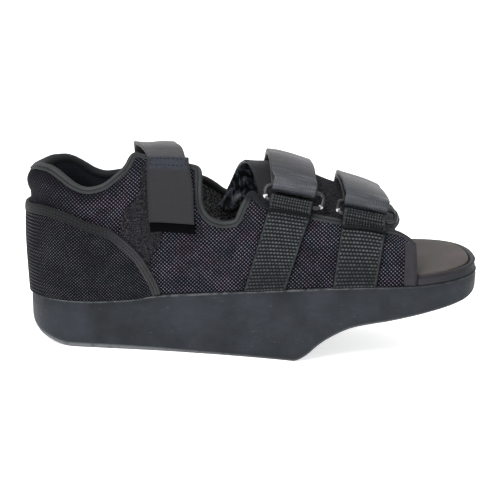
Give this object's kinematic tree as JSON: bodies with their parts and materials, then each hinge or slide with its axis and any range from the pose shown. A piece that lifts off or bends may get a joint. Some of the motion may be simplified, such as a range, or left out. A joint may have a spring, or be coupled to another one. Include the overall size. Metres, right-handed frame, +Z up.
{
  "type": "post operative shoe",
  "caption": "Open-toe post-operative shoe with a forefoot relief wedge sole, mesh upper and hook-and-loop straps run through oval rings.",
  "frame": {"origin": "centre of the bottom of the shoe's box, on the plane of the floor that it stands on", "axes": "+X from heel to toe, +Y towards the outer side of a left foot, +Z up"},
  "size_m": [0.2836, 0.1122, 0.1263],
  "materials": {
    "sole_eva": "matt blue-grey foam with faint scuffs",
    "footbed_foam": "matt dark grey foam, rounded rim",
    "insole_cover": "smooth grey-brown foam cover, faintly mottled",
    "mesh_fabric": "black open-weave spacer mesh",
    "counter_mesh": "black mesh over a firm heel counter",
    "collar_lining": "brushed blue-black lining",
    "edge_binding": "smooth dark grey elastic binding",
    "loop_pile": "dark fuzzy loop pile",
    "strap_tape": "satin grey woven hook-and-loop tape",
    "ribbed_webbing": "dark ribbed webbing",
    "hook_tape": "black hook tape",
    "ring_plastic": "glossy black",
    "thread": "dark grey thread"
  },
  "bodies": {
    "root": {"outsole": "sole_eva", "midsole": "footbed_foam", "insole": "insole_cover", "upper": "mesh_fabric", "heel_counter": "counter_mesh", "pile_patch": "loop_pile", "instep_flap": "loop_pile", "webbing_rear": "ribbed_webbing", "ring_rear": "ring_plastic", "strap_rear": "strap_tape", "webbing_front": "ribbed_webbing", "ring_front": "ring_plastic", "strap_front": "strap_tape", "ankle_strap": "strap_tape", "ankle_hook": "hook_tape"}
  },
  "joints": []
}
